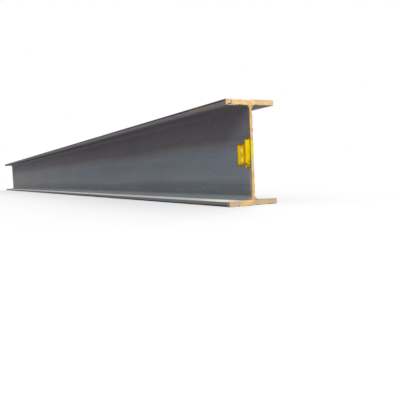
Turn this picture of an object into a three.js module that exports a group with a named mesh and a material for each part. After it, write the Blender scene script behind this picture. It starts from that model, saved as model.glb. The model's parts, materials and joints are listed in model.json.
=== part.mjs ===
// Hot-rolled wide-flange H-beam, one straight 9 m stock length of 550 x 300 mm section, with the two
// paper stock labels stuck on its web beside one cut end.
//
// Frame, in millimetres: X runs along the beam and the labelled end is at +X, Y runs across the
// flanges, Z is up. The origin is at the middle of the length, on the underside of the bottom flange.

import * as THREE from 'three';

// ---- The rolled section -------------------------------------------------------------------------

const LENGTH = 9000;
const SECTION_HEIGHT = 550; // over both flanges
const FLANGE_WIDTH = 300;
const FLANGE_THICKNESS = 29;
const WEB_THICKNESS = 15;
const ROOT_RADIUS = 27; // concave corner where the web runs into a flange
const TOE_RADIUS = 3; // rolled convex corner along each edge of a flange toe
const ARC_FACETS = 16; // facets in each quarter round, an even number

// ---- The stock labels, flat on the web ----------------------------------------------------------

const LABEL_THICKNESS = 0.3;

const END_LABEL = {
  name: 'label_end',
  width: 48, // along the beam
  height: 153,
  fromEnd: 9, // from the cut end to the label's nearer edge
  aboveMiddle: -1.5, // label's centre over the middle of the web
  color: 0xe6c713,
};

const INNER_LABEL = {
  name: 'label_inner',
  width: 64,
  height: 114,
  fromEnd: 65,
  aboveMiddle: -8,
  color: 0xd9ae1c,
};

// ---- Finishes -----------------------------------------------------------------------------------

const MILL_SCALE = { color: 0x5f6369, roughness: 0.62, metalness: 0.55 };
const LABEL_PAPER = { roughness: 0.7, metalness: 0 };

// ---- Section outline ----------------------------------------------------------------------------

// The sharp corners of the section's +Y half, from the underside up, each with its rolled radius.
function halfSection() {
  const toe = FLANGE_WIDTH / 2;
  const web = WEB_THICKNESS / 2;
  const bottomInner = FLANGE_THICKNESS;
  const topInner = SECTION_HEIGHT - FLANGE_THICKNESS;
  return [
    { y: toe, z: 0, radius: TOE_RADIUS },
    { y: toe, z: bottomInner, radius: TOE_RADIUS },
    { y: web, z: bottomInner, radius: ROOT_RADIUS },
    { y: web, z: topInner, radius: ROOT_RADIUS },
    { y: toe, z: topInner, radius: TOE_RADIUS },
    { y: toe, z: SECTION_HEIGHT, radius: TOE_RADIUS },
  ];
}

// The same corners on the -Y side, from the top down, so that the two halves make one loop.
function mirrored(half) {
  return half.map((corner) => ({ ...corner, y: -corner.y })).reverse();
}

// A closed outline round square corners, each rounded by a quarter circle that touches both of its
// sides. Convex corners turn anticlockwise and concave ones clockwise.
function roundedOutline(corners) {
  const outline = new THREE.Shape();
  const points = corners.map((corner) => new THREE.Vector2(corner.y, corner.z));
  corners.forEach(({ radius }, i) => {
    const point = points[i];
    const arriving = point.clone().sub(points.at(i - 1)).normalize();
    const leaving = points[(i + 1) % points.length].clone().sub(point).normalize();
    const centre = point.clone().addScaledVector(arriving, -radius).addScaledVector(leaving, radius);
    const concave = arriving.cross(leaving) < 0;
    const start = leaving.clone().negate().angle();
    outline.absarc(centre.x, centre.y, radius, start, arriving.angle(), concave);
  });
  outline.closePath();
  return outline;
}

function sectionOutline() {
  const half = halfSection();
  return roundedOutline([...half, ...mirrored(half)]);
}

// ---- Pieces -------------------------------------------------------------------------------------

// The beam is one solid: its section drawn in the plane across the beam and run along the length.
function makeBeam() {
  const geometry = new THREE.ExtrudeGeometry(sectionOutline(), {
    depth: LENGTH,
    bevelEnabled: false,
    curveSegments: ARC_FACETS / 2, // an arc in a Shape is drawn with twice this many facets
  });
  const acrossBeam = new THREE.Vector3(0, 1, 0);
  const upBeam = new THREE.Vector3(0, 0, 1);
  const alongBeam = new THREE.Vector3(1, 0, 0);
  geometry.applyMatrix4(new THREE.Matrix4().makeBasis(acrossBeam, upBeam, alongBeam));
  const beam = new THREE.Mesh(geometry, new THREE.MeshStandardMaterial(MILL_SCALE));
  beam.name = 'h_beam';
  beam.position.x = -LENGTH / 2;
  return beam;
}

// A label lies flat on the -Y face of the web, its back against the steel.
function makeLabel(label) {
  const geometry = new THREE.BoxGeometry(label.width, LABEL_THICKNESS, label.height);
  const material = new THREE.MeshStandardMaterial({ ...LABEL_PAPER, color: label.color });
  const mesh = new THREE.Mesh(geometry, material);
  mesh.name = label.name;
  mesh.position.set(
    LENGTH / 2 - label.fromEnd - label.width / 2,
    -WEB_THICKNESS / 2 - LABEL_THICKNESS / 2,
    SECTION_HEIGHT / 2 + label.aboveMiddle,
  );
  return mesh;
}

const hBeam = new THREE.Group();
hBeam.add(makeBeam(), makeLabel(END_LABEL), makeLabel(INNER_LABEL));

export default hBeam;
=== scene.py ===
"""One length of hot-rolled H-beam as it lies in the stockyard: mill scale on the rolled faces, rust and
slag on the torch-cut ends, a dab of paint on the web's end and two blank stock labels beside it.

Laid out as an add-on, and run as a script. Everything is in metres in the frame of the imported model:
X along the beam with the labelled end at +X, Y across the flanges, Z up.
"""

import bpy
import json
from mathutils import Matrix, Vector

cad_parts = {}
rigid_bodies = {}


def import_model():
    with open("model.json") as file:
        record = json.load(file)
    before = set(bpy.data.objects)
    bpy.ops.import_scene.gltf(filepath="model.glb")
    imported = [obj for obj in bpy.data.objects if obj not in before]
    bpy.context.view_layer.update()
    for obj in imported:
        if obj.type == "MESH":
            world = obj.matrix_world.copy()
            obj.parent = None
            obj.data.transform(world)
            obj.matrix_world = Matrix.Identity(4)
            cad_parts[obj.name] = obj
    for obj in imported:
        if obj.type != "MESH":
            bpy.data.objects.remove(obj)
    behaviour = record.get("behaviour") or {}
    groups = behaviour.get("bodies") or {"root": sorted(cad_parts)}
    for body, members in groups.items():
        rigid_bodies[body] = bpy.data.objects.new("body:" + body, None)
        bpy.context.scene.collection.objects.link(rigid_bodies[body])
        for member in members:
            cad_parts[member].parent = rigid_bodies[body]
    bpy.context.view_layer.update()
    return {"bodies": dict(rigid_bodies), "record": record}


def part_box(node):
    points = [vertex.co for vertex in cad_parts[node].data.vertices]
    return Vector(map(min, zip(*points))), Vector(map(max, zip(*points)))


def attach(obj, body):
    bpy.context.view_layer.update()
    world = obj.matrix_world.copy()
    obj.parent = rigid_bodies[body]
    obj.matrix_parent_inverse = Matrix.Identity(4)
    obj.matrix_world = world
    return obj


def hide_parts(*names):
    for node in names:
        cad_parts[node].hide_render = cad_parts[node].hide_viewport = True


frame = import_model()

import json
import math
import random

import bmesh
import bpy
from bpy.props import FloatProperty, FloatVectorProperty, IntProperty, PointerProperty
from mathutils import Matrix, Vector, noise

bl_info = {
    "name": "Rolled H-Beam",
    "version": (1, 0, 0),
    "blender": (4, 5, 0),
    "location": "3D View > Sidebar > H-Beam",
    "description": "Models and finishes one stock length of rolled H-beam round its packed frame",
    "category": "Object",
}

# ---- What the frame gives ------------------------------------------------------------------------

MOUNTS = {mount["name"]: Vector(mount["pos_m"]) for mount in frame["record"]["mounts"]}
HALF_LENGTH, HALF_WIDTH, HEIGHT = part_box("h_beam")[1]
FLANGE = MOUNTS["bottom_flange_upper_face"].z
HALF_WEB = MOUNTS["web_plain_side"].y
UNDERSIDE = HEIGHT - FLANGE  # of the top flange
BODY = "root" if "root" in frame["bodies"] else next(iter(frame["bodies"]))

# ---- Where things are on this beam, in metres ----------------------------------------------------

# On the labelled end: the place where the torch was lit, on the top flange's toe, and the radii of
# its dished middle and of the ridge round it.
CURL = Vector((HALF_LENGTH, 0.021 - HALF_WIDTH, HEIGHT - 0.013))
CURL_DISH = 0.007
CURL_RIDGE = 0.011

# Lower and upper borders, all over the floor.
PAINT = (0.272, 0.353)  # the marking paint on the web's cut
PAINT_SPILL = (0.274, 0.362)  # the paint that ran round onto the web
DULL_CUT = (0.175, 0.262)  # the duller stretch of the web's cut
PALE_PATCH = (0.368, 0.443)  # the paler patch on the web, where it meets the cut

FIERY = (-0.070, 0.002)  # the brightest rust on the bottom flange's cut, across the beam
DRAG_PITCH = 0.0026  # between the ripples that the torch leaves

# On the labels: how far up the grime reaches, and the feet and height of the amber label's patches.
GRIME_REACH = {"yellow_label": 0.062, "amber_label": 0.034}
PATCH_FEET = (0.018, 0.070)
PATCH_HEIGHT = 0.024


def linear(hex_colour):
    """An sRGB colour such as "5C636B" as the linear red, green and blue that shaders take."""
    channels = [int(hex_colour[i:i + 2], 16) / 255 for i in (0, 2, 4)]
    return tuple(c / 12.92 if c <= 0.04045 else ((c + 0.055) / 1.055) ** 2.4 for c in channels)


def tint(name, description, hex_colour):
    """A colour property with an sRGB default."""
    return FloatVectorProperty(name=name, description=description, default=linear(hex_colour),
                               subtype="COLOR", size=3, min=0, max=1)


def length(name, description, metres):
    """A length property."""
    return FloatProperty(name=name, description=description, default=metres, unit="LENGTH",
                         subtype="DISTANCE", precision=4)


# ---- Sizes and colours a user would change -------------------------------------------------------

class SectionSettings(bpy.types.PropertyGroup):
    """Rolled corners of the section, and how finely the beam is divided."""
    root_radius: length("Root radius", "Fillet between web and flange", 0.027)
    toe_radius: length("Toe radius", "Rolled corner along each flange toe", 0.003)
    cell: length("Cell", "Spacing of the section's divisions", 0.004)
    wave: length("Wave", "How far the rolled faces wander from true", 0.0006)
    seed: IntProperty(name="Seed", description="Start of every random draw", default=7)


class CutSettings(bpy.types.PropertyGroup):
    """The torch-cut ends."""
    relief: length("Relief", "Depth of the cut face's hollows", 0.0024)
    ragged: length("Ragged edge", "How far the cut eats into its lower edges", 0.0024)
    bead: length("Bead", "Radius of the largest slag bead", 0.0032)
    rust: tint("Cut rust", "Fresh rust on the cut faces", "F1CF99")
    rust_deep: tint("Deep rust", "Orange rust in the hollows of the cut", "E9B673")
    bare: tint("Bare cut", "Grey-tan parts of the cut", "C4AC8E")
    cream: tint("Scorched edge", "Pale scorched edge where the flame went in", "FAF0D8")
    # The brown edge is real browning along the cuts' lower edges and the web's sides, and painted
    # shadow along the back half's upper edges.
    brown_edge: tint("Burnt edge", "Browned lower edge of the cut", "7A5433")
    slag: tint("Slag", "Rusted slag under the cut", "DDB988")
    paint: tint("End paint", "Marking paint on the web's end", "E2D818")
    tan: tint("Tan cut", "Paler tan of the least rusted parts", "C2AB97")
    web_cast: tint("Web cast", "Cast of the web's cut over the flanges'", "F2EDD1")
    drips: tint("Drips", "Pale orange lower edge of the bottom flange's cut", "EDCB9A")
    skin: tint("Skin", "Grey skin on the upper edge beside the lit toe", "C3BBA3")
    curl: tint("Curl", "Brown ring where the torch was lit", "8C5A2C")
    dull: tint("Dull cut", "Duller stretch of the web's cut below the paint", "DAD0A6")
    slag_dark: tint("Dark slag", "Dark brown slag, and its hanging edge", "5B4030")


class SteelSettings(bpy.types.PropertyGroup):
    """Mill scale on the rolled faces."""
    # Painted shade: the top, dark and warm scales paint the top flange's shadow on the web, darkest
    # right under the flange and warming at its lower edge above mid-height.
    flange_shade_top: tint("Scale, top", "Scale right under the top flange", "5B575E")
    flange_shade_dark: tint("Scale, dark", "Near-black scale over the upper third", "4F4B51")
    flange_shade_edge: tint("Scale, warm", "Faintly rusted scale above mid-height", "5D5A5B")
    scale_blue: tint("Scale, blue", "Blue-grey scale at mid-height", "616870")
    scale_pale: tint("Scale, pale", "Paler blue-grey scale below mid-height", "696F76")
    # Painted reflection: the band paints the bottom flange reflected in the web near its foot.
    reflection_band: tint("Scale, band", "Darker band near the foot of the web", "5A5E67")
    scale_foot: tint("Scale, foot", "Foot of the web", "5A5F62")
    scale_far: tint("Scale, far", "Browner scale towards the plain end", "6F6C6B")
    # Painted light: the underside's scale is paler than the web's, to lift the shade under the top
    # flange.
    underside_lit_scale: tint("Scale, underside", "Scale on the top flange's underside", "666268")
    # A paler strip of the underside next to each toe.
    pale_toe_strip: tint("Rubbed", "Paler strip of the underside next to the toe", "8C888A")
    scale_outer: tint("Scale, outer", "Scale on the flanges' outer faces", "5B5D61")
    dust: tint("Dust", "Dust on faces that look up", "72777B")
    dust_pale: tint("Pale dust", "Dust out towards the toes", "C8CBCA")
    dust_end: tint("End dust", "Chalky dust beside the labelled cut", "F4F5E4")
    toe: tint("Toe", "Rolled edge of the flanges", "68676D")
    toe_olive: tint("Toe, olive", "Olive patches on the toes", "6B6A62")
    toe_purple: tint("Toe, purple", "Purple-brown patches on the toes", "6B646A")
    # Painted shade in part: the toe line darkens the toes' corners, the top roots and the dust by the
    # web; it also darkens the crazing and the lowest band of the top toes.
    dark_line_and_shade: tint("Toe line", "Dark line along the toes' outer corners", "201E22")
    rust: tint("Rust", "Thin rust over the scale", "77604F")
    rust_fresh: tint("Fresh rust", "Brighter specks in the rust", "8A5E3C")
    heated: tint("Heated", "Strip browned by the torch", "94866E")
    # Painted shade: darkening away from the labelled end.
    far_shade: tint("Weathering", "Darkening away from the labelled end", "140A1C")
    flake: tint("Flakes", "Paler steel where scale has flaked off", "80868C")
    scratch: tint("Scratches", "Bright scratches from handling", "9A9DA0")


class LabelSettings(bpy.types.PropertyGroup):
    """The two blank stock labels."""
    lift: length("Lift", "How far a loose corner stands off the web", 0.0035)
    yellow: tint("Yellow", "Label beside the cut", "F0D000")
    amber: tint("Amber", "Label further in", "D9AE00")
    pale: tint("Pale", "Blank patches on the amber label", "EADC5C")
    border: tint("Border", "Printed border across the ends", "8A4E0C")
    side_border: tint("Side border", "Printed border along the sides", "B0720A")
    grime: tint("Grime", "Dirt and thumb marks", "6E5C08")
    glue: tint("Glue", "Glue bled out between the two labels", "BE7E0A")
    spill: tint("Paint spill", "End paint that ran round onto the web", "85760F")


class StageSettings(bpy.types.PropertyGroup):
    """Floor, light and camera."""
    floor: tint("Floor", "Floor as it lights the beam", "CBCBCB")
    lift: FloatProperty(name="Lift", description="How far the seen floor is lifted to white",
                        default=0.235)
    sky: FloatProperty(name="Sky", description="Strength of the even light all round", default=0.76)
    key: FloatProperty(name="Key", description="Strength of the soft light on the labelled side",
                       default=2.0)
    fill: FloatProperty(name="Fill", description="Strength of the soft light from behind", default=0.8)
    softness: FloatProperty(name="Softness", description="Angle across each soft light",
                            default=math.radians(35), subtype="ANGLE")
    camera_ahead: length("Camera ahead", "Camera's distance past the labelled end", 2.049)
    camera_aside: length("Camera aside", "Camera's distance from the web's middle plane", 1.444)
    camera_height: length("Camera height", "Camera's height over the floor", 0.18)
    heading: FloatProperty(name="Heading", description="Camera's turn from +Y towards -X",
                           default=math.radians(61.31), subtype="ANGLE")
    pitch: FloatProperty(name="Pitch", description="Camera's tilt above level",
                         default=math.radians(-3.21), subtype="ANGLE")
    roll: FloatProperty(name="Roll", description="Camera's turn about its own axis",
                        default=math.radians(-2.52), subtype="ANGLE")
    lens: FloatProperty(name="Lens", description="Focal length on a 36 mm sensor", default=42.92)


class BeamSettings(bpy.types.PropertyGroup):
    """All settings of the beam."""
    section: PointerProperty(type=SectionSettings)
    cut: PointerProperty(type=CutSettings)
    steel: PointerProperty(type=SteelSettings)
    label: PointerProperty(type=LabelSettings)
    stage: PointerProperty(type=StageSettings)


# ---- Finishes ------------------------------------------------------------------------------------

class Nodes:
    """A node tree, with a short method for each kind of step the finishes use."""

    def __init__(self, owner):
        owner.use_nodes = True
        self.tree = owner.node_tree
        self.tree.nodes.clear()

    def add(self, kind, inputs, **settings):
        """A node with its settings made and its inputs linked or set."""
        node = self.tree.nodes.new(kind)
        for name, value in settings.items():
            setattr(node, name, value)
        for name, value in inputs.items():
            if isinstance(value, bpy.types.NodeSocket):
                self.tree.links.new(value, node.inputs[name])
            elif value is not None:
                node.inputs[name].default_value = value
        return node

    def end(self, kind, shader):
        """Sends a shader to the tree's output."""
        self.add(kind, {"Surface": shader})

    def maths(self, operation, a, b=None, c=None):
        """One sum, product or the like."""
        inputs = {i: v for i, v in enumerate((a, b, c)) if v is not None}
        return self.add("ShaderNodeMath", inputs, operation=operation).outputs[0]

    def times(self, first, *others):
        """The product of all that is given, from left to right."""
        for other in others:
            first = self.maths("MULTIPLY", first, other)
        return first

    def scaled(self, value, gain, offset):
        """value times gain, plus offset."""
        return self.maths("MULTIPLY_ADD", value, gain, offset)

    def plus(self, a, b):
        """a and b together."""
        return self.maths("ADD", a, b)

    def less(self, a, b):
        """a less b."""
        return self.maths("SUBTRACT", a, b)

    def most(self, a, b):
        """The greater of a and b."""
        return self.maths("MAXIMUM", a, b)

    def least(self, a, b):
        """The smaller of a and b."""
        return self.maths("MINIMUM", a, b)

    def seen_directly(self):
        """1 for rays from the camera, in mirrors and through glass, 0 for rays that light things."""
        path = self.add("ShaderNodeLightPath", {})
        first = self.most(path.outputs["Is Camera Ray"], path.outputs["Is Glossy Ray"])
        return self.most(first, path.outputs["Is Transmission Ray"])


class Finish(Nodes):
    """One material, its patterns laid out on the object's own place."""

    def __init__(self, name):
        self.material = bpy.data.materials.new(name)
        super().__init__(self.material)
        self.place = self.add("ShaderNodeTexCoord", {}).outputs["Object"]
        axes = self.add("ShaderNodeSeparateXYZ", {"Vector": self.place})
        self.x, self.y, self.z = axes.outputs

    def stretch(self, scale, shift=(0, 0, 0)):
        """The place, scaled by an amount for each axis, and shifted."""
        node = self.add("ShaderNodeMapping", {"Vector": self.place, "Location": shift, "Scale": scale})
        return node.outputs[0]

    def noise(self, scale, stretch=(1, 1, 1), shift=(0, 0, 0), detail=4, rough=0.55, distort=0.0):
        """Soft cloudy noise, 0 to 1."""
        inputs = {"Vector": self.stretch(stretch, shift), "Scale": scale, "Detail": detail,
                  "Roughness": rough, "Distortion": distort}
        return self.add("ShaderNodeTexNoise", inputs).outputs["Fac"]

    def crazing(self, scale, stretch):
        """Distance from the edges of scattered cells."""
        inputs = {"Vector": self.stretch(stretch), "Scale": scale}
        node = self.add("ShaderNodeTexVoronoi", inputs, feature="DISTANCE_TO_EDGE")
        return node.outputs["Distance"]

    def rise(self, value, low, high):
        """0 below low and 1 above high, smoothly between; with low over high it falls instead."""
        inputs = {"Value": value, "From Min": low, "From Max": high}
        node = self.add("ShaderNodeMapRange", inputs, interpolation_type="SMOOTHSTEP")
        return node.outputs["Result"]

    def within(self, value, low, high, blur):
        """1 between low and high and 0 outside, its borders blurred by that far each way."""
        return self.times(self.rise(value, low - blur, low + blur),
                          self.rise(value, high + blur, high - blur))

    def mix(self, share, under, over, blend="MIX"):
        """over laid on under by share."""
        node = self.add("ShaderNodeMix", {"Factor": share}, data_type="RGBA", blend_type=blend)
        for socket, value in ((node.inputs[6], under), (node.inputs[7], over)):
            if isinstance(value, bpy.types.NodeSocket):
                self.tree.links.new(value, socket)
            else:
                socket.default_value = (*value, 1)
        return node.outputs[2]

    def shade(self, colour, value, amount):
        """colour made darker where value is low and lighter where it is high."""
        gain = self.scaled(value, 4 * amount, 1 - 2 * amount)
        ground = colour if isinstance(colour, bpy.types.NodeSocket) else tuple(colour)
        node = self.add("ShaderNodeVectorMath", {0: ground, "Scale": gain}, operation="SCALE")
        return node.outputs[0]

    def ramp(self, value, stops):
        """A colour for each position of value."""
        node = self.add("ShaderNodeValToRGB", {"Fac": value})
        elements = node.color_ramp.elements
        while len(elements) < len(stops):
            elements.new(0.5)
        for element, (position, colour) in zip(elements, stops):
            element.position = position
            element.color = (*colour, 1)
        return node.outputs["Color"]

    def bump(self, height, depth, strength=1.0, under=None):
        """A normal for height, where 1 stands depth metres proud."""
        inputs = {"Height": height, "Distance": depth, "Strength": strength, "Normal": under}
        return self.add("ShaderNodeBump", inputs).outputs["Normal"]

    def surface(self, colour, roughness, normal, specular):
        """The finished surface."""
        inputs = {"Base Color": colour, "Roughness": roughness, "Normal": normal,
                  "Specular IOR Level": specular}
        shader = self.add("ShaderNodeBsdfPrincipled", inputs)
        self.end("ShaderNodeOutputMaterial", shader.outputs[0])
        return self.material


class ScaleFinish(Finish):
    """A finish for rolled steel, with the places and patterns that its layers share."""

    def __init__(self, name):
        super().__init__(name)
        self.reach = self.maths("ABSOLUTE", self.y)
        self.from_cut = self.less(HALF_LENGTH, self.maths("ABSOLUTE", self.x))
        normal = self.add("ShaderNodeNewGeometry", {}).outputs["Normal"]
        self.facing = self.add("ShaderNodeSeparateXYZ", {"Vector": normal}).outputs["Z"]
        self.blotch = self.noise(4.5, (0.35, 1, 1), (2, 0, 0), detail=6, rough=0.6)
        self.streak = self.noise(48, (0.02, 1, 1), detail=5, rough=0.65)
        self.island = self.noise(26, (0.6, 1, 1), (5, 1, 2), detail=10, rough=0.7)
        self.flaked = self.rise(self.island, 0.56, 0.575)
        self.grain = self.noise(380, detail=4, rough=0.65)
        self.patchy = self.noise(11, (0.5, 1, 1), (4, 4, 0), detail=8, rough=0.6)


def scale_zones(f, steel):
    """Zones by height on the web and the flanges' inner faces, with borders that wander: painted shade
    under the top flange, in its roots and away from the labelled end, a painted reflection band near
    the foot, and painted light on the underside.
    """
    wander = f.noise(0.9, (0.8, 1, 2), detail=3)
    level = f.plus(f.maths("DIVIDE", f.z, HEIGHT), f.scaled(wander, 0.16, -0.08))
    # Painted shade by height: the ramp darkens the web from mid-height up, where the top flange's
    # shadow falls, and paints a reflection band near the foot.
    colour = f.ramp(level, [
        (0.05, steel.scale_foot), (0.13, steel.scale_foot), (0.165, steel.reflection_band),
        (0.20, steel.reflection_band), (0.27, steel.scale_pale), (0.42, steel.scale_blue),
        (0.56, steel.scale_blue), (0.63, steel.flange_shade_edge), (0.685, steel.flange_shade_dark),
        (0.88, steel.flange_shade_top)])
    low_half = f.rise(f.z, HEIGHT * 0.8, HEIGHT * 0.5)
    far = f.times(f.rise(f.x, 2.2, -4.2), low_half)
    colour = f.mix(f.times(far, 0.75), colour, steel.scale_far)
    # Painted light on the top flange's underside, which faces down.
    underside = f.times(f.rise(f.facing, -0.2, -0.8), f.rise(f.z, 0.02, 0.05))
    colour = f.mix(underside, colour, steel.underside_lit_scale)
    # A paler strip of the underside next to each toe.
    pale_toe_strip = f.times(underside, f.rise(f.reach, HALF_WIDTH - 0.040, HALF_WIDTH - 0.022))
    colour = f.mix(f.times(pale_toe_strip, 0.8), colour, steel.pale_toe_strip)
    # Painted shade in the top roots, where the web meets the top flange.
    root = f.times(f.within(f.facing, -0.85, -0.2, 0.15), f.rise(f.z, 0.1, 0.2))
    colour = f.mix(f.times(root, 0.3), colour, steel.dark_line_and_shade)
    outside = f.most(f.rise(f.z, HEIGHT - 0.006, HEIGHT - 0.002), f.rise(f.z, 0.006, 0.002))
    colour = f.mix(outside, colour, steel.scale_outer)
    # Painted shade deepening away from the labelled end, most on the upper web and least on the
    # underside.
    far_shading = f.scaled(underside, -0.40, f.scaled(low_half, -0.22, 0.50))
    far_shading = f.times(far_shading, f.rise(f.x, 4.9, 1.5))
    return f.mix(far_shading, colour, steel.far_shade)


def scale_texture(f, steel, colour):
    """Blotches, drawn-out rolling streaks, flaked islands, crazing and fine grain."""
    crazed = f.rise(f.crazing(46, (0.8, 1, 1)), 0.05, 0.0)
    crazed = f.times(crazed, f.rise(f.blotch, 0.5, 0.62), 0.35)
    colour = f.shade(colour, f.blotch, 0.16)
    colour = f.shade(colour, f.streak, 0.12)
    colour = f.shade(colour, f.grain, 0.2)
    colour = f.mix(f.times(f.flaked, 0.10), colour, steel.flake)
    return f.mix(crazed, colour, steel.dark_line_and_shade)


def settled_dust(f, steel, colour):
    """The colour with dust over it, palest out towards the toes and beside the labelled cut, its
    darkening in by the web painted shade, with dust and a painted highlight along the toes' upper
    edges; and how much dust lies there, most where the faces look up."""
    drift = f.noise(7, (0.3, 1, 1), (0, 4, 0), detail=9, rough=0.62)
    low = f.rise(f.z, HEIGHT * 0.5, HEIGHT * 0.4)
    # Painted shade: the dust is darkest in by the web and palest out at the toes.
    outward = f.times(low, f.rise(f.reach, HALF_WEB, HALF_WIDTH - 0.032))
    outward = f.plus(outward, f.scaled(drift, 0.5, f.scaled(low, -0.40, 0.15)))
    dust = f.mix(f.rise(outward, 0.1, 1.1), steel.dust, steel.dust_pale)
    # More painted shade by the web towards the plain end.
    inner = f.times(f.rise(outward, 0.9, 0.2), f.rise(f.x, 1.5, -3.0))
    dust = f.mix(f.times(inner, 0.3), dust, steel.dark_line_and_shade)
    chalky = f.times(f.rise(f.x, HALF_LENGTH - 0.5, HALF_LENGTH - 0.08), f.rise(outward, 0.2, 0.9))
    dust = f.mix(chalky, dust, steel.dust_end)
    cover = f.scaled(f.grain, 0.35, f.scaled(drift, 1.3, -0.22))
    cover = f.rise(f.scaled(low, 0.35, cover), 0.25, 0.8)
    cover = f.times(cover, f.rise(f.facing, 0.02, 0.75))
    # Dust and a painted highlight along the up-facing edges next to the toes.
    rim_dust_and_highlight = f.times(f.rise(f.reach, HALF_WIDTH - 0.012, HALF_WIDTH - 0.005),
                  f.rise(f.facing, 0.1, 0.5), f.scaled(low, 0.55, 0.25))
    dust = f.shade(dust, f.noise(130, detail=6, rough=0.7), 0.1)
    colour = f.mix(cover, colour, dust)
    return f.mix(rim_dust_and_highlight, colour, f.mix(chalky, steel.dust_pale, steel.dust_end)), cover


def worn_toes(f, steel, colour):
    """The colour with duller toes, olive and purple-brown in patches, with painted shade lines along
    their corners and a painted highlight along the bottom flange's upper toe corner, and 1 for the toes
    and 0 elsewhere."""
    toe = f.times(f.rise(f.reach, HALF_WIDTH - 0.0045, HALF_WIDTH - 0.0025),
                  f.rise(f.maths("ABSOLUTE", f.facing), 0.8, 0.5))
    patchy = f.scaled(f.rise(f.x, HALF_LENGTH - 0.6, HALF_LENGTH - 0.15), 0.1, f.patchy)
    worn = f.mix(f.rise(patchy, 0.52, 0.62), f.shade(steel.toe, f.blotch, 0.2), steel.toe_olive)
    worn = f.mix(f.rise(patchy, 0.46, 0.38), worn, steel.toe_purple)
    worn = f.shade(worn, f.grain, 0.25)
    lowest = f.within(f.z, UNDERSIDE, UNDERSIDE + 0.009, 0.005)
    worn = f.mix(f.times(lowest, 0.12), worn, steel.dark_line_and_shade)
    # Painted shade: dark lines along the top flange's upper toe corners and the bottom flange's lower
    # ones.
    corner = f.least(f.less(HEIGHT, f.z), f.plus(f.z, 0.0025))
    corner = f.rise(f.scaled(f.patchy, 0.003, corner), 0.0135, 0.0105)
    worn = f.mix(f.times(corner, 0.9), worn, steel.dark_line_and_shade)
    # Painted highlight along the bottom flange's upper toe corner.
    rim_highlight = f.within(f.z, FLANGE - 0.005, FLANGE + 0.001, 0.001)
    worn = f.mix(f.times(rim_highlight, 0.7), worn, steel.dust_pale)
    return f.mix(f.times(toe, 0.95), colour, worn), toe


def thin_rust(f, steel, colour):
    """Rust in blooms that break into specks, and a browned strip where the torch heated the steel."""
    bloom = f.noise(6.5, (0.45, 1, 1), (1, 7, 3), detail=9, rough=0.66)
    specks = f.noise(150, (0.8, 1, 1), detail=4, rough=0.6)
    specks = f.rise(f.scaled(specks, 0.5, bloom), 0.82, 0.90)
    rusty = f.most(f.times(f.rise(bloom, 0.56, 0.74), 0.4), f.times(specks, 0.6))
    rusty = f.times(rusty, f.scaled(f.rise(f.reach, 0.03, 0.06), 0.43, 0.2))
    colour = f.mix(rusty, colour, f.mix(f.grain, steel.rust, steel.rust_fresh))
    heat = f.scaled(f.noise(24, (1, 1, 0.6), detail=6), 0.03, f.less(f.from_cut, 0.015))
    low_down = f.scaled(f.rise(f.z, 0.26, 0.1), 0.74, 0.06)
    return f.mix(f.times(f.rise(heat, 0.034, 0.008), low_down), colour, steel.heated)


def handling_marks(f, steel, colour):
    """Faint bright scratches along the beam, and fewer across it."""
    for turn, share in (((0.35, 8, 8), 0.08), ((8, 6, 0.5), 0.06)):
        line = f.rise(f.noise(2.2, turn, (3, 3, 3), detail=2, rough=0.4, distort=0.6), 0.71, 0.74)
        line = f.times(line, f.rise(f.island, 0.45, 0.55))
        colour = f.mix(f.times(line, share), colour, steel.scratch)
    return colour


def pale_patch(f, steel, colour):
    """A paler patch above the labels on their side of the web, slanting down away from the cut."""
    slant = f.scaled(f.from_cut, 0.30, f.z)
    edge = f.scaled(f.noise(13, (0.6, 1, 1), (7, 0, 2), detail=7, rough=0.62), 0.10, -0.05)
    band = f.within(f.plus(slant, edge), *PALE_PATCH, 0.030)
    near = f.times(f.rise(f.x, HALF_LENGTH - 0.34, HALF_LENGTH - 0.16), f.rise(f.y, 0.001, 0.0))
    return f.mix(f.times(band, near, 0.27), colour, steel.scale_pale)


def label_stains(f, settings, colour):
    """Glue bled out between the two labels, and end paint that ran round onto the web."""
    end_low, end_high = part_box("label_end")
    inner_low, inner_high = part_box("label_inner")
    ragged = f.scaled(f.noise(90, detail=5), 0.012, f.z)
    labelled_side = f.less(1.0, f.rise(f.y, 0, 0.001))
    glue = f.times(f.within(f.x, inner_high.x, end_low.x, 0.0005),
                   f.within(ragged, inner_low.z + 0.006, inner_high.z + 0.004, 0.003),
                   labelled_side, 0.9)
    colour = f.mix(glue, colour, settings.label.glue)
    spill = f.times(f.within(f.x, end_high.x - 0.002, HALF_LENGTH + 0.01, 0.001),
                    f.within(ragged, *PAINT_SPILL, 0.003), labelled_side, 0.8)
    return f.mix(spill, colour, settings.label.spill)


def mill_scale(settings):
    """Rolled faces: blue-grey scale, darker higher up by painted shade, with dust, worn toes and thin
    rust.
    """
    steel = settings.steel
    f = ScaleFinish("mill_scale")
    colour = scale_texture(f, steel, scale_zones(f, steel))
    colour, dusty = settled_dust(f, steel, colour)
    colour, toe = worn_toes(f, steel, colour)
    colour = handling_marks(f, steel, thin_rust(f, steel, colour))
    colour = label_stains(f, settings, pale_patch(f, steel, colour))
    rough = f.plus(f.scaled(f.island, 0.35, 0.33), f.times(f.grain, 0.16))
    matt = f.most(f.times(toe, 0.92), f.times(dusty, 0.9))
    relief = f.bump(f.grain, 0.0003)
    layers = ((f.streak, 0.0003, 1.0), (f.island, 0.0006, 1.0), (f.flaked, 0.0002, 0.6))
    for height, depth, strength in layers:
        relief = f.bump(height, depth, strength, relief)
    return f.surface(colour, f.most(rough, matt), relief, specular=0.18)


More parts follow.
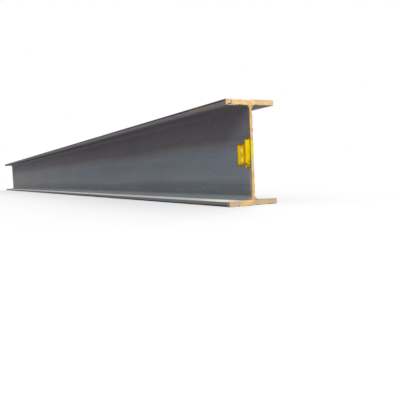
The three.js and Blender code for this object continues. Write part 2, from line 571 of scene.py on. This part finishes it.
class CutFinish(Finish):
    """A finish for torch-cut steel, with the places that its layers share."""

    def __init__(self, name):
        super().__init__(name)
        self.reach = self.maths("ABSOLUTE", self.y)
        self.cloud = self.noise(22, detail=9, rough=0.66)
        self.labelled = self.rise(self.x, 0, 1)
        self.upper = self.rise(self.z, HEIGHT * 0.5, HEIGHT * 0.6)
        self.lower_flange = self.rise(self.z, 0.06, 0.035)
        self.front = self.rise(self.y, 0.03, -0.01)
        self.on_web = self.times(self.rise(self.reach, HALF_WEB * 2.2, HALF_WEB * 1.1),
                                 self.within(self.z, FLANGE, UNDERSIDE, 0.01))
        self.on_flange = self.less(1.0, self.on_web)
        depth = self.maths("MODULO", self.less(HEIGHT, self.z), UNDERSIDE)  # below a flange's top
        ragged = self.noise(60, detail=7, rough=0.6)
        self.depth = self.scaled(ragged, 0.010, self.less(depth, 0.005))


def cut_ground(f, cut):
    """Fresh rust, deepest by the middle of the bottom flange, which is tan on either side of it."""
    colour = f.mix(f.rise(f.cloud, 0.44, 0.62), cut.rust, cut.rust_deep)
    slanted = f.scaled(f.z, -0.7, f.scaled(f.noise(40, detail=6), 0.040, f.y))
    middle = f.within(slanted, *FIERY, 0.009)
    colour = f.mix(f.times(middle, f.lower_flange, 0.7), colour, cut.rust_deep)
    tan = f.times(f.less(1.0, middle), f.lower_flange)
    patches = f.times(f.rise(f.noise(17, shift=(3, 1, 0), detail=8), 0.5, 0.66), 0.45)
    tan = f.most(tan, patches)
    tan_colour = f.mix(f.rise(f.cloud, 0.42, 0.6), cut.bare, cut.tan)
    colour = f.mix(f.times(tan, 0.85), colour, tan_colour)
    return f.mix(f.on_web, colour, cut.web_cast, "MULTIPLY")


def cut_edges(f, cut, colour):
    """Scorched pale where the flame went in, browned there on the back half by painted shadow, and pale
    or brown where it came out and at the web's sides.
    """
    share = f.times(f.scaled(f.front, 0.72, 0.13), f.scaled(f.upper, 0.65, 0.35))
    scorch = f.times(f.rise(f.depth, 0.0075, 0.0005), f.on_flange)
    colour = f.mix(f.times(scorch, share), colour, cut.cream)
    # Painted shadow browning the upper edges on the back half.
    back = f.less(1.0, f.front)
    colour = f.mix(f.times(scorch, back, 0.35), colour, cut.brown_edge)

    patches = f.rise(f.noise(12, (1, 1, 0.2), (6, 6, 0)), 0.38, 0.54)
    foot = f.times(f.rise(f.depth, 0.0205, 0.0265), patches, f.on_flange, f.scaled(back, 0.4, 0.5))
    drips = f.times(f.rise(f.depth, 0.0190, 0.0240), f.front, f.lower_flange)
    foot = f.most(foot, f.times(drips, f.rise(f.noise(85, detail=4), 0.44, 0.54)))
    colour = f.mix(foot, colour, f.mix(f.lower_flange, cut.cream, cut.drips))
    scallop = f.scaled(f.noise(75, (1, 1, 0.2), (2, 2, 0), detail=3), 0.016, f.depth)
    browned = f.times(f.rise(scallop, 0.0335, 0.0350), f.on_flange)
    sides = f.times(f.on_web, f.rise(f.scaled(f.cloud, 0.004, f.reach), 0.0075, 0.0100))
    brown_edge = f.most(browned, f.times(sides, 0.62))
    return f.mix(f.times(brown_edge, 0.8), colour, cut.brown_edge)


def torch_curl(f, cut, colour):
    """The curl where the torch was lit, on the top flange's toe at the labelled end."""
    east = f.less(f.y, CURL.y)
    north = f.less(f.z, CURL.z)
    radius = f.maths("SQRT", f.plus(f.maths("POWER", east, 2.0), f.maths("POWER", north, 2.0)))
    radius = f.scaled(f.noise(70, detail=5), 0.009, f.less(radius, 0.0045))
    pool = f.times(f.labelled, f.rise(radius, CURL_RIDGE, 0.003), 0.25)
    colour = f.mix(pool, colour, cut.cream)
    skin = f.times(f.rise(f.z, HEIGHT - 0.012, HEIGHT - 0.005), f.rise(f.y, -0.112, -0.128),
                   f.labelled, 0.55)
    colour = f.mix(skin, colour, cut.skin)
    swept = f.rise(f.less(east, north), -0.002, 0.008)
    ring = f.times(f.labelled, swept, f.within(radius, 0.0085, 0.0135, 0.0015), 0.95)
    return f.mix(ring, colour, cut.curl)


def end_paint(f, cut, colour):
    """Paint brushed over the web's labelled end, which is duller below it."""
    edge = f.noise(95, (1, 0.5, 0.5), detail=7, rough=0.7)
    brushed = f.within(f.scaled(edge, 0.03, f.z), *PAINT, 0.002)
    painted = f.times(f.labelled, f.rise(f.reach, 0.011, 0.009), brushed)
    worn = f.scaled(f.rise(f.noise(240, (1, 2, 0.6), detail=5), 0.53, 0.62), -0.6, 1.0)
    below = f.times(f.within(f.z, *DULL_CUT, 0.018), f.on_web, f.labelled)
    speckled = f.scaled(f.rise(f.noise(190, detail=5), 0.46, 0.56), 0.45, 0.30)
    colour = f.mix(f.times(below, speckled), colour, cut.dull)
    return f.mix(f.times(painted, worn), colour, cut.paint)


def drag_lines(f):
    """The torch's ripples, across the flanges' thickness and the web's, -1 to 1."""
    rate = 2 * math.pi / DRAG_PITCH
    bent = f.scaled(f.noise(35), 0.008, f.y)
    level = f.scaled(f.noise(35, shift=(0, 5, 0)), 0.008, f.z)
    flange_wave = f.maths("SINE", f.times(bent, rate))
    web_wave = f.maths("SINE", f.times(level, rate))
    return f.add("ShaderNodeMix", {"Factor": f.on_web, 2: flange_wave, 3: web_wave}).outputs[0]


def cut_steel(settings):
    """Torch-cut faces: fresh rust over grey, pale where the flame went in, with drag lines across."""
    cut = settings.cut
    f = CutFinish("torch_cut")
    colour = torch_curl(f, cut, cut_edges(f, cut, cut_ground(f, cut)))
    colour = end_paint(f, cut, colour)
    ripple = drag_lines(f)
    colour = f.shade(colour, f.scaled(ripple, 0.5, 0.5), 0.08)
    colour = f.shade(colour, f.noise(300, detail=5, rough=0.7), 0.25)
    grain = f.bump(ripple, 0.00035, 1.0, f.bump(f.noise(260, detail=5), 0.0006))
    return f.surface(colour, 0.85, grain, specular=0.15)


def slag_oxide(settings):
    """Slag that ran down under the torch: rusted like the cut, dark brown along its lower edge."""
    f = Finish("cut_slag")
    patch = f.noise(45, detail=7, rough=0.65)
    colour = f.mix(f.rise(patch, 0.36, 0.46), settings.cut.slag_dark, settings.cut.slag)
    colour = f.mix(f.rise(patch, 0.52, 0.60), colour, settings.cut.rust_deep)
    hanging = f.scaled(f.noise(120, detail=4), 0.006, f.z)
    hanging = f.times(f.rise(hanging, UNDERSIDE - 0.003, UNDERSIDE - 0.006),
                      f.rise(f.z, UNDERSIDE - 0.030, UNDERSIDE - 0.025))
    colour = f.mix(f.times(hanging, 0.5), colour, settings.cut.slag_dark)
    return f.surface(colour, 0.7, f.bump(f.noise(500), 0.0006), specular=0.25)


def label_print(settings, name, ground, node):
    """Coloured label stock, blank but for a worn darker border, and grimy towards the foot."""
    label = settings.label
    low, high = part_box(node)
    f = Finish(name)
    ragged = f.scaled(f.noise(150, detail=4), 0.003, -0.0015)
    left = f.plus(f.less(f.x, low.x), ragged)
    right = f.plus(f.less(high.x, f.x), ragged)
    under = f.plus(f.less(high.z, f.z), ragged)
    over = f.plus(f.less(f.z, low.z), ragged)
    colour = f.shade(ground, f.noise(30, (1, 1, 0.5), detail=6), 0.22)
    if name == "amber_label":
        across = f.within(left, 0.032, 0.053, 0.006)
        for foot in PATCH_FEET:
            patch = f.times(across, f.within(over, foot, foot + PATCH_HEIGHT, 0.006), 0.9)
            colour = f.mix(patch, colour, label.pale)
    sides = f.least(left, f.plus(right, 0.002))
    ends = f.least(under, f.plus(over, 0.001))
    border = f.scaled(f.rise(f.noise(60, detail=5), 0.35, 0.6), 0.35, 0.6)
    colour = f.mix(f.times(f.rise(sides, 0.0075, 0.0045), border), colour, label.side_border)
    colour = f.mix(f.times(f.rise(ends, 0.0075, 0.0045), border), colour, label.border)
    reach = GRIME_REACH[name]
    thumbed = f.rise(f.plus(over, f.times(right, 0.25)), reach, reach * 0.5)
    grime = f.times(thumbed, f.rise(f.noise(60, detail=6), 0.40, 0.52), 0.75)
    colour = f.mix(grime, colour, label.grime)
    return f.surface(colour, 0.7, f.bump(f.noise(120), 0.0003), specular=0.03)


def floor_white(settings):
    """The floor: matt grey as it lights the beam, lifted to white where seen, with its shadow kept."""
    stage = settings.stage
    f = Finish("floor_white")
    matt = f.add("ShaderNodeBsdfDiffuse", {"Color": (*stage.floor, 1)})
    strength = f.times(f.seen_directly(), stage.lift)
    lift = f.add("ShaderNodeEmission", {"Color": (1, 1, 1, 1), "Strength": strength})
    both = f.add("ShaderNodeAddShader", {0: matt.outputs[0], 1: lift.outputs[0]})
    f.end("ShaderNodeOutputMaterial", both.outputs[0])
    return f.material


# ---- Helpers for pieces --------------------------------------------------------------------------

def finish_piece(bm, name, materials, replaces=()):
    """Makes the bmesh a piece at the origin that rides with the beam."""
    mesh = bpy.data.meshes.new(name)
    bm.to_mesh(mesh)
    bm.free()
    for material in materials:
        mesh.materials.append(material)
    piece = bpy.data.objects.new(name, mesh)
    bpy.context.scene.collection.objects.link(piece)
    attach(piece, BODY)
    if replaces:
        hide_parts(*replaces)
    return piece


def chaos(point, pitch, seed):
    """Smooth noise from -1 to 1 with features about pitch metres across."""
    return noise.noise(Vector(point) / pitch + Vector((seed, seed * 1.7, -seed)))


# ---- The beam ------------------------------------------------------------------------------------

ROOT_FACETS = 12
TOE_FACETS = 4
SAME_PLACE = 0.00002  # a cutting plane this near a corner goes through it
FINE_STEPS = 6  # beside each cut, as long as a cell
STEP_GROWTH = 1.2  # of each step further in over the one before
LONGEST_STEP = 0.22

# The noises that shape the steel: the size of their features in metres, and a seed.
WANDER = (0.7, 2)
BITES = (0.012, 5)
HOLLOWS = (0.045, 9)
FINE_HOLLOWS = (0.009, 11)

CUT_REACH = 0.006  # how far in from a cut its edges are ragged
ON_CUT = 0.0001  # a point this near the end is on the cut face


def draw_section(bm, section):
    """The section as one flat outline at the far end, its roots and toes rounded."""
    half = [(HALF_WIDTH, 0), (HALF_WIDTH, FLANGE), (HALF_WEB, FLANGE),
            (HALF_WEB, UNDERSIDE), (HALF_WIDTH, UNDERSIDE), (HALF_WIDTH, HEIGHT)]
    outline = half + [(-y, z) for y, z in reversed(half)]
    corners = [bm.verts.new((-HALF_LENGTH, y, z)) for y, z in outline]
    bm.faces.new(corners)
    rounds = ((True, section.root_radius, ROOT_FACETS), (False, section.toe_radius, TOE_FACETS))
    for is_root, radius, segments in rounds:
        chosen = [v for v in corners if v.is_valid and (abs(v.co.y) < HALF_WEB * 1.01) == is_root]
        bmesh.ops.bevel(bm, geom=chosen, offset=radius, offset_type="OFFSET", affect="VERTICES",
                        segments=segments, profile=0.5, material=-1)


def divide(bm, axis, low, high, cell):
    """Cuts everything by evenly spaced planes across an axis."""
    count = max(1, round((high - low) / cell))
    normal = Vector([1.0 if i == axis else 0.0 for i in range(3)])
    for i in range(1, count):
        where = normal * (low + (high - low) * i / count)
        geometry = bm.verts[:] + bm.edges[:] + bm.faces[:]
        bmesh.ops.bisect_plane(bm, geom=geometry, plane_co=where, plane_no=normal, dist=SAME_PLACE)


def stations(cell):
    """Steps along the beam, short beside the cuts and long in between."""
    gaps = []
    step = cell
    while step < LONGEST_STEP:
        gaps.append(step)
        if len(gaps) >= FINE_STEPS:
            step *= STEP_GROWTH
    middle = 2 * (HALF_LENGTH - sum(gaps))
    count = round(middle / step)
    return gaps + [middle / count] * count + gaps[::-1]


def weather_vertex(v, section, cut):
    """Where a point of the true beam ends up: wandering faces, hollow cuts and ragged cut edges."""
    p = v.co.copy()
    from_end = HALF_LENGTH - abs(p.x)
    side = math.copysign(1, p.x)
    outward = Vector(v.normal)
    outward.x = 0
    drift = section.wave * (chaos((p.x, p.y * 3, p.z * 3), *WANDER) - 1) * 0.5
    near_cut = math.exp(-from_end / CUT_REACH)
    lower = max(0.0, -outward.z, outward.y if abs(p.y) < HALF_WEB * 1.5 else 0.0)
    bite = max(0.0, chaos(p, *BITES) + 0.3) * (0.35 + 0.65 * lower)
    move = outward * (drift - cut.ragged * near_cut * bite)
    if from_end < ON_CUT:
        hollow = 0.5 + 0.5 * chaos(p, *HOLLOWS)
        fine = 0.5 + 0.5 * chaos(p, *FINE_HOLLOWS)
        rounding = 0.35 if abs(outward.y) + abs(outward.z) > 0.2 else 0.0
        away = (p - CURL).length
        dish = 0.5 * math.exp(-(away / CURL_DISH) ** 2)
        ridge = 0.6 * math.exp(-((away - CURL_RIDGE) / 0.004) ** 2)
        depth = 0.6 * hollow + 0.4 * fine + rounding + (dish - ridge)
        move.x -= side * cut.relief * max(0.1, depth)
    return p + move


def model_beam(settings):
    """The rolled beam with its two torch-cut ends."""
    section, cut = settings.section, settings.cut
    bm = bmesh.new()
    draw_section(bm, section)
    divide(bm, 1, -HALF_WIDTH, HALF_WIDTH, section.cell)
    divide(bm, 2, 0.0, HEIGHT, section.cell)
    cap = bm.faces[:]
    for i, gap in enumerate(stations(section.cell)):
        made = bmesh.ops.extrude_face_region(bm, geom=cap)["geom"]
        moved = [g for g in made if isinstance(g, bmesh.types.BMVert)]
        bmesh.ops.translate(bm, vec=(gap, 0, 0), verts=moved)
        if i:  # the section left behind is a wall inside the steel, but for the far end's own cut
            bmesh.ops.delete(bm, geom=cap, context="FACES")
        cap = [g for g in made if isinstance(g, bmesh.types.BMFace)]
    bmesh.ops.recalc_face_normals(bm, faces=bm.faces[:])
    bm.normal_update()
    for face in bm.faces:
        face.smooth = True
        face.material_index = 1 if abs(face.normal.x) > 0.9 else 0
    for edge in bm.edges:
        edge.smooth = edge.calc_face_angle(0) < math.radians(40)
    places = [weather_vertex(v, section, cut) for v in bm.verts]
    for v, place in zip(bm.verts, places):
        v.co = place
    return finish_piece(bm, "rolled_beam", [mill_scale(settings), cut_steel(settings)],
                        ["h_beam"])


# ---- Slag under the cuts -------------------------------------------------------------------------

# Each run's y and z where it starts and where it ends, the way its beads hang, and their weight at
# the start and at the end.
SLAG_RUNS = (
    ((0.003 - HALF_WIDTH, UNDERSIDE), (-0.034, UNDERSIDE), (0, 0, -1), 2.3, 0.8),
    ((0.034, UNDERSIDE), (HALF_WIDTH - 0.006, UNDERSIDE), (0, 0, -1), 0.7, 0.8),
    ((HALF_WEB, FLANGE + 0.036), (HALF_WEB, UNDERSIDE - 0.036), (0, 1, 0), 1.3, 1.3),
)
CLUSTER = (1, 6)  # fewest and most beads in a cluster
CLUSTER_GAPS = (0.001, 0.003, 0.008, 0.016)
SUNK = 0.0009  # how much deeper in the steel a bead sits than its draw says
SET_BACK = 0.0018  # of a bead behind the plane of the cut, besides its draw
BEHIND_CUT = 0.0004  # the least room between a bead and the plane of the cut
INSIDE_TOE = 0.0003  # and between a bead and the plane of the flange's toe
LUMP_SEED = 3


def hang_bead(bm, draw, place, radius, side):
    """One lumpy bead, kept behind the plane of the cut and inside the flange's width."""
    made = bmesh.ops.create_icosphere(bm, subdivisions=2, radius=radius)["verts"]
    stretch = (draw.uniform(0.5, 0.8), draw.uniform(0.9, 1.5), draw.uniform(0.9, 1.5))
    for v in made:
        lump = 1 + 0.3 * chaos(v.co + place, radius, LUMP_SEED)
        v.co = Vector([c * s for c, s in zip(v.co, stretch)]) * lump + place
        v.co.x = side * min(side * v.co.x, HALF_LENGTH - BEHIND_CUT)
        v.co.y = min(max(v.co.y, INSIDE_TOE - HALF_WIDTH), HALF_WIDTH - INSIDE_TOE)


def model_slag(settings):
    """Slag in clusters of beads under the top flange's cuts, heaviest at the toe where the torch was
    lit, and along the back edge of the web's."""
    cut = settings.cut
    draw = random.Random(settings.section.seed)
    bm = bmesh.new()
    for side in (-1, 1):
        for start_place, end_place, hang, first, last in SLAG_RUNS:
            start, end, hang = Vector((0, *start_place)), Vector((0, *end_place)), Vector(hang)
            run = (end - start).length
            along = 0.0
            while along < run:
                share = along / run
                weight = last + (first - last) * (1 - share) ** 2
                size = cut.bead * weight * draw.uniform(0.5, 1.0)
                for _ in range(draw.randint(*CLUSTER)):
                    radius = size * draw.uniform(0.6, 1.0)
                    proud = radius * draw.uniform(-0.3, 0.3) - SUNK
                    place = start.lerp(end, min(1.0, along / run)) + hang * proud
                    place.x = side * (HALF_LENGTH - SET_BACK - radius * draw.uniform(0.3, 0.65))
                    hang_bead(bm, draw, place, radius, side)
                    along += radius * draw.uniform(0.7, 1.3)
                along += draw.choice(CLUSTER_GAPS) / max(0.5, weight) ** 2
    bmesh.ops.recalc_face_normals(bm, faces=bm.faces[:])
    for face in bm.faces:
        face.smooth = True
    return finish_piece(bm, "cut_slag", [slag_oxide(settings)])


# ---- Labels --------------------------------------------------------------------------------------

LABEL_CELLS = (24, 48)  # along the beam, and up
LABEL_THICKNESS = 0.00015
LABEL_GAP = 0.0001  # between a label's back and the web
RIPPLES = (0.02, 4)  # the size of a label's ripples, and their seed
RIPPLE_DEPTH = 0.00012
LOOSE_REACH = 0.022  # how far from a loose corner the label stands off


def model_label(settings, node, name, ground, loose_corners):
    """A thin label on the web. Each loose corner curls off it: where it is, as 0 or 1 along the label
    and up it, and its share of the full lift."""
    low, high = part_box(node)
    size = high - low
    lift = settings.label.lift
    bm = bmesh.new()
    across, up = LABEL_CELLS
    bmesh.ops.create_grid(bm, x_segments=across, y_segments=up, size=0.5)
    for v in bm.verts:
        u, w = v.co.x + 0.5, v.co.y + 0.5
        off = 0.0
        for corner_u, corner_w, share in loose_corners:
            away = math.hypot((u - corner_u) * size.x, (w - corner_w) * size.z)
            off += share * lift * max(0.0, 1 - away / LOOSE_REACH) ** 1.7
        ripple = RIPPLE_DEPTH * (1 + chaos((u * size.x, 0, w * size.z), *RIPPLES))
        y = high.y - LABEL_GAP - off - ripple
        v.co = Vector((low.x + u * size.x, y, low.z + w * size.z))
    bmesh.ops.recalc_face_normals(bm, faces=bm.faces[:])
    if sum(face.normal.y for face in bm.faces) > 0:
        bmesh.ops.reverse_faces(bm, faces=bm.faces[:])
    bmesh.ops.solidify(bm, geom=bm.faces[:], thickness=LABEL_THICKNESS)
    bmesh.ops.recalc_face_normals(bm, faces=bm.faces[:])
    for face in bm.faces:
        face.smooth = True
    return finish_piece(bm, name, [label_print(settings, name, ground, node)], [node])


# ---- The stage -----------------------------------------------------------------------------------

FLOOR_REACH = 150  # from the middle to each side
KEY_FROM = (0.70, -0.35, 0.62)
FILL_FROM = (-0.55, 0.60, 0.58)


def lay_floor(scene):
    """A floor wide enough to fill every view."""
    bm = bmesh.new()
    bmesh.ops.create_grid(bm, x_segments=1, y_segments=1, size=FLOOR_REACH)
    mesh = bpy.data.meshes.new("floor")
    bm.to_mesh(mesh)
    bm.free()
    mesh.materials.append(floor_white(scene.hbeam))
    floor = bpy.data.objects.new("floor", mesh)
    scene.collection.objects.link(floor)


def light_scene(scene, stage):
    """Even light all round, seen as white, and two soft lamps."""
    world = bpy.data.worlds.new("even_light")
    sky = Nodes(world)
    strength = sky.most(sky.seen_directly(), stage.sky)
    even = sky.add("ShaderNodeBackground", {"Color": (1, 1, 1, 1), "Strength": strength})
    sky.end("ShaderNodeOutputWorld", even.outputs[0])
    scene.world = world

    for name, energy, source in (("key", stage.key, KEY_FROM), ("fill", stage.fill, FILL_FROM)):
        lamp = bpy.data.lights.new(name, "SUN")
        lamp.energy = energy
        lamp.angle = stage.softness
        light = bpy.data.objects.new(name, lamp)
        light.rotation_euler = Vector(source).to_track_quat("Z", "Y").to_euler()
        scene.collection.objects.link(light)


def place_camera(scene, stage):
    """The camera, low beyond the labelled end and looking back along the beam."""
    data = bpy.data.cameras.new("camera")
    data.sensor_width = 36
    data.lens = stage.lens
    data.clip_start = 0.05
    data.clip_end = 200
    camera = bpy.data.objects.new("camera", data)
    place = Vector((HALF_LENGTH + stage.camera_ahead, -stage.camera_aside, stage.camera_height))
    turn = (Matrix.Rotation(stage.heading, 4, "Z")
            @ Matrix.Rotation(math.pi / 2 + stage.pitch, 4, "X")
            @ Matrix.Rotation(stage.roll, 4, "Z"))
    camera.matrix_world = Matrix.Translation(place) @ turn
    scene.collection.objects.link(camera)
    scene.camera = camera


# ---- Operators -----------------------------------------------------------------------------------

class HBEAM_OT_beam(bpy.types.Operator):
    """Models the rolled beam and its cut ends"""
    bl_idname = "hbeam.beam"
    bl_label = "Rolled beam"

    def execute(self, context):
        model_beam(context.scene.hbeam)
        return {"FINISHED"}


class HBEAM_OT_slag(bpy.types.Operator):
    """Models the slag beads under the torch cuts"""
    bl_idname = "hbeam.slag"
    bl_label = "Cut slag"

    def execute(self, context):
        model_slag(context.scene.hbeam)
        return {"FINISHED"}


class HBEAM_OT_labels(bpy.types.Operator):
    """Models the two blank stock labels on the web"""
    bl_idname = "hbeam.labels"
    bl_label = "Stock labels"

    def execute(self, context):
        settings = context.scene.hbeam
        label = settings.label
        model_label(settings, "label_end", "yellow_label", label.yellow, [(1, 0, 1), (0, 1, 0.5)])
        model_label(settings, "label_inner", "amber_label", label.amber, [(0, 1, 0.8), (1, 0, 0.6)])
        return {"FINISHED"}


class HBEAM_OT_stage(bpy.types.Operator):
    """Sets the floor, the light and the camera"""
    bl_idname = "hbeam.stage"
    bl_label = "Stage"

    def execute(self, context):
        scene = context.scene
        scene.view_settings.view_transform = "Standard"
        lay_floor(scene)
        light_scene(scene, scene.hbeam.stage)
        place_camera(scene, scene.hbeam.stage)
        return {"FINISHED"}


class HBEAM_PT_panel(bpy.types.Panel):
    """Lists the steps and their settings"""
    bl_label = "H-Beam"
    bl_idname = "HBEAM_PT_panel"
    bl_space_type = "VIEW_3D"
    bl_region_type = "UI"
    bl_category = "H-Beam"

    def draw(self, context):
        for operator in STEPS:
            self.layout.operator(operator.bl_idname)
        settings = context.scene.hbeam
        for group in (settings.section, settings.cut, settings.steel, settings.label, settings.stage):
            box = self.layout.box()
            for name in group.bl_rna.properties.keys():
                if name not in ("rna_type", "name"):
                    box.prop(group, name)


STEPS = (HBEAM_OT_stage, HBEAM_OT_beam, HBEAM_OT_slag, HBEAM_OT_labels)
GROUPS = (SectionSettings, CutSettings, SteelSettings, LabelSettings, StageSettings, BeamSettings)
CLASSES = (*GROUPS, *STEPS, HBEAM_PT_panel)


def register():
    """Registers the classes and hangs the settings on the scene"""
    for cls in CLASSES:
        bpy.utils.register_class(cls)
    bpy.types.Scene.hbeam = PointerProperty(type=BeamSettings)


def unregister():
    """Takes both away again"""
    del bpy.types.Scene.hbeam
    for cls in reversed(CLASSES):
        bpy.utils.unregister_class(cls)


def main():
    """Builds everything"""
    register()
    bpy.ops.hbeam.stage()
    bpy.ops.hbeam.beam()
    bpy.ops.hbeam.slag()
    bpy.ops.hbeam.labels()


if __name__ == "__main__":
    main()
